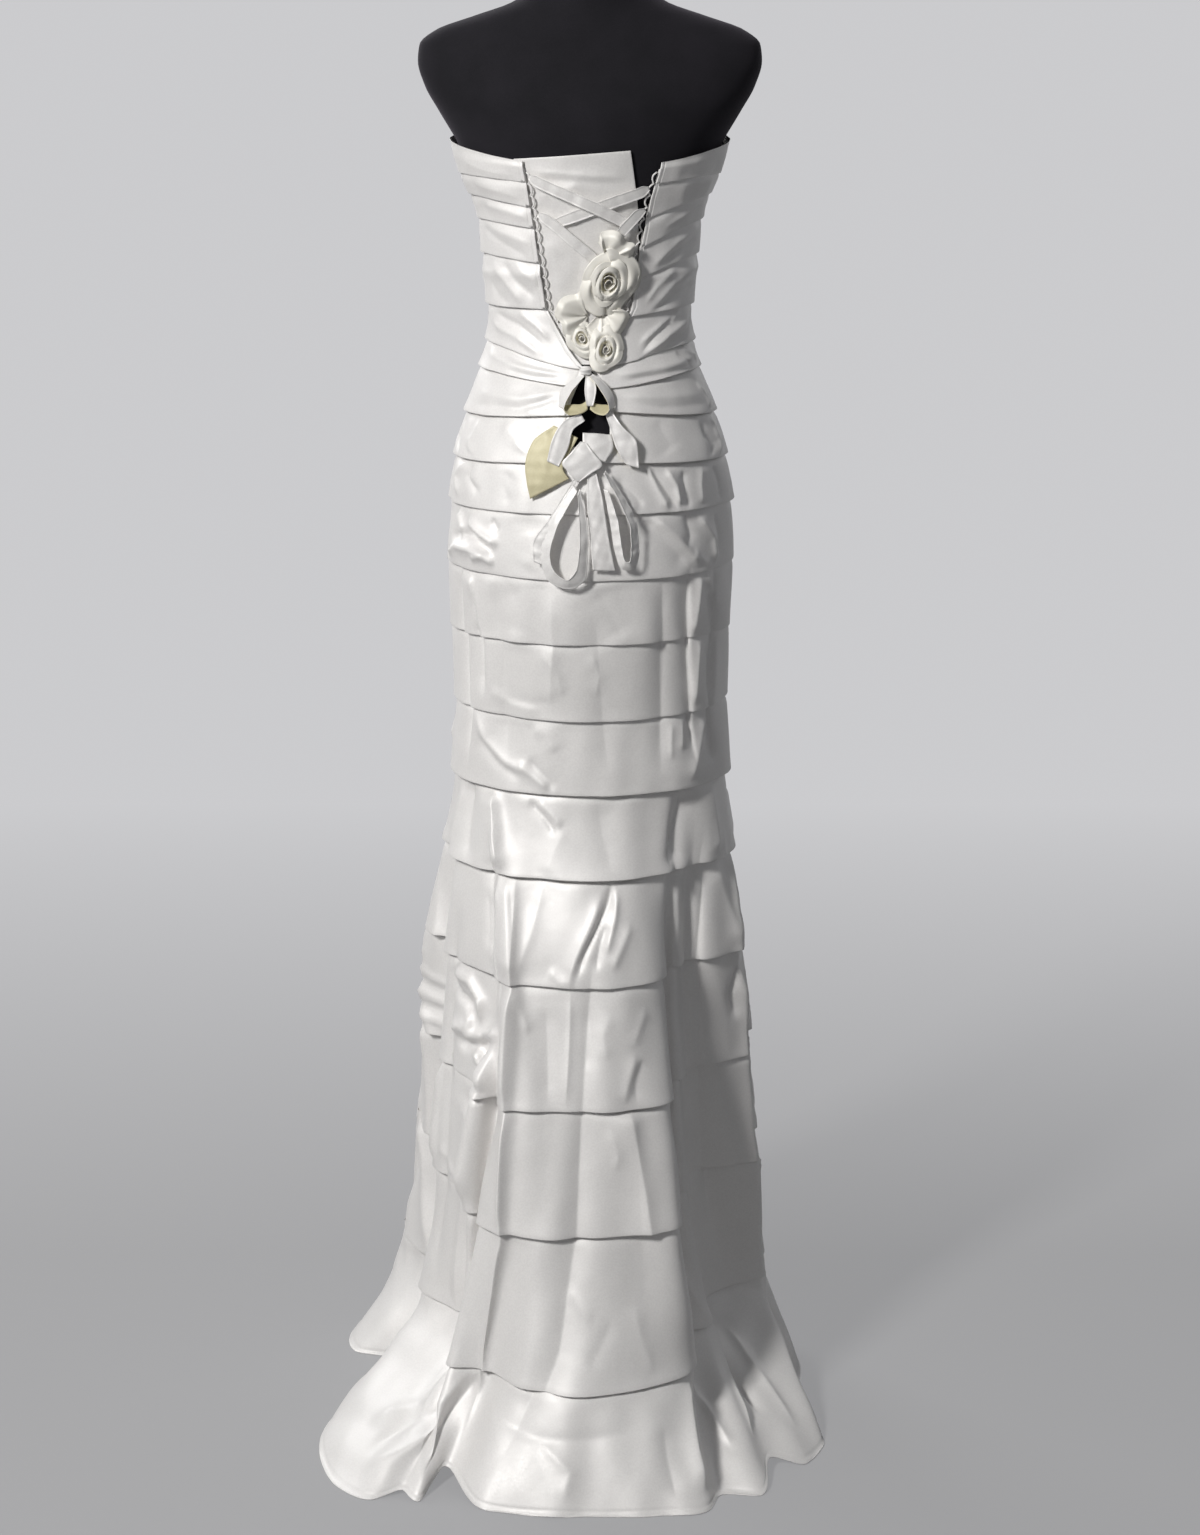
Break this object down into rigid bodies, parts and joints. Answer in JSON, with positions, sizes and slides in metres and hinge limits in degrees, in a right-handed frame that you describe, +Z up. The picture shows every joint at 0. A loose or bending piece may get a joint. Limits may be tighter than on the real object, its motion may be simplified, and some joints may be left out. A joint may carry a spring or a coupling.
{
  "type": "tiered satin trumpet gown with laced back on a limbless dress form",
  "caption": "Strapless fitted trumpet gown in overlapping satin tiers, laced up the back with roses and a bow, on a limbless dress form with a round base.",
  "frame": {"origin": "on the floor at the centre of the underside of the form's round base, on the axis of its pole", "axes": "+Z up, -Y towards the viewer of the gown's laced back, +X to that viewer's right"},
  "size_m": [0.565, 0.575, 1.652],
  "materials": {
    "satin": "ivory duchess satin, soft sheen",
    "satin_cream": "cream underside of the ribbon, soft sheen",
    "form_fabric": "black jersey cover, matt",
    "painted_metal": "black, half matt"
  },
  "bodies": {
    "root": {"bodice_tier_1": "satin", "bodice_tier_2": "satin", "bodice_tier_3": "satin", "bodice_tier_4": "satin", "bodice_tier_5": "satin", "waist_tier_1": "satin", "waist_tier_2": "satin", "skirt_tier_1": "satin", "skirt_tier_2": "satin", "skirt_tier_3": "satin", "skirt_tier_4": "satin", "skirt_tier_5": "satin", "skirt_tier_6": "satin", "skirt_tier_7": "satin", "skirt_tier_8": "satin", "skirt_tier_9": "satin", "skirt_tier_10": "satin", "skirt_tier_11": "satin", "skirt_tier_12": "satin", "skirt_tier_13": "satin", "modesty_panel": "satin", "lace_loops_left": "satin", "lace_loops_right": "satin", "lacing_ribbon_1": "satin", "lacing_ribbon_2": "satin", "lacing_ribbon_3": "satin", "lacing_ribbon_4": "satin", "rose_large": "satin", "rose_small_left": "satin", "rose_small_right": "satin", "rose_petal_upper": "satin", "rose_petal_left": "satin", "rose_petal_lower": "satin", "bow_knot": "satin", "bow_bridge": "satin", "bow_loop_left": "satin", "bow_loop_right": "satin", "bow_fold_left": "satin", "bow_tail_right": "satin", "bow_wrap": "satin", "bow_drop": "satin", "hanging_loop_outer": "satin", "hanging_loop_left": "satin", "hanging_strip": "satin", "hanging_loop_right": "satin", "bow_tail_cream": "satin_cream", "form_torso": "form_fabric", "form_neck_cap": "painted_metal", "form_pole": "painted_metal", "form_base": "painted_metal"}
  },
  "joints": []
}
